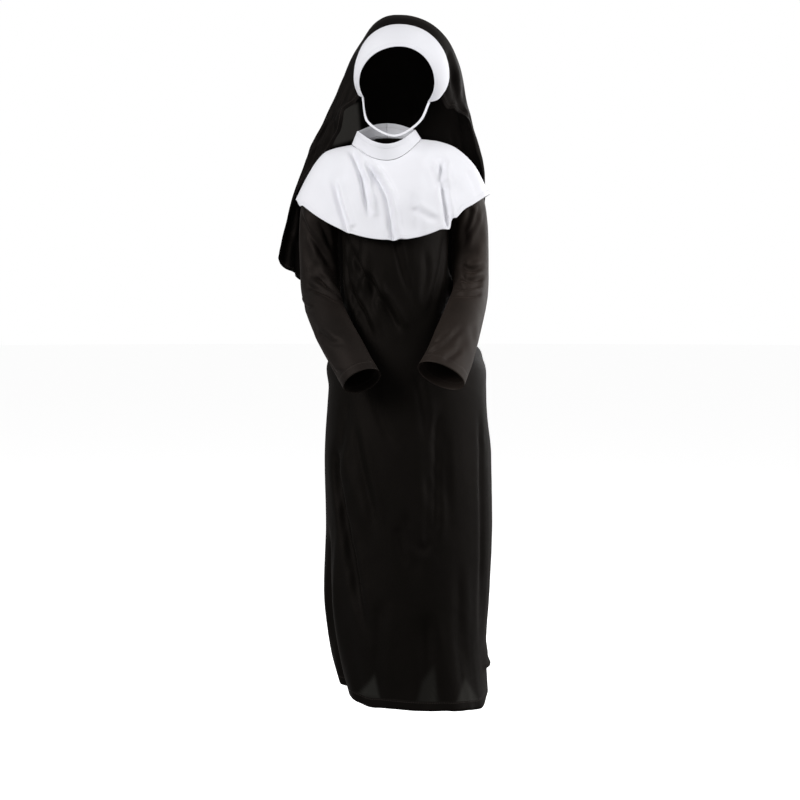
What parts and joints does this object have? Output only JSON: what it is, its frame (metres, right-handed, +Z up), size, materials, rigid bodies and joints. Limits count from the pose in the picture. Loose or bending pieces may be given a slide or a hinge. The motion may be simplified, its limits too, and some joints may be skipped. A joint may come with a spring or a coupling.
{
  "type": "child's nun habit with cape, collar and veil",
  "caption": "Child's nun habit as worn: long black gown with hollow sleeves, white cape and stand collar, coif band and long veil.",
  "frame": {"origin": "middle of the wearer's neck base, inside the collar, where the neck and shoulders hold the set up", "axes": "+Z up along the body, -Y to the front, +X to the viewer's right"},
  "size_m": [0.3775, 0.3188, 1.1841],
  "materials": {
    "black_knit": "light polyester knit with a faint sheen",
    "veil_knit": "light polyester knit with a faint sheen",
    "white_knit": "matt polyester knit, slightly bluish"
  },
  "bodies": {
    "root": {"gown_front": "black_knit", "gown_back": "black_knit", "sleeve_left": "black_knit", "sleeve_right": "black_knit", "cape": "white_knit", "collar_stand": "white_knit", "veil": "veil_knit", "coif_band": "white_knit", "chin_strap": "white_knit"}
  },
  "joints": []
}
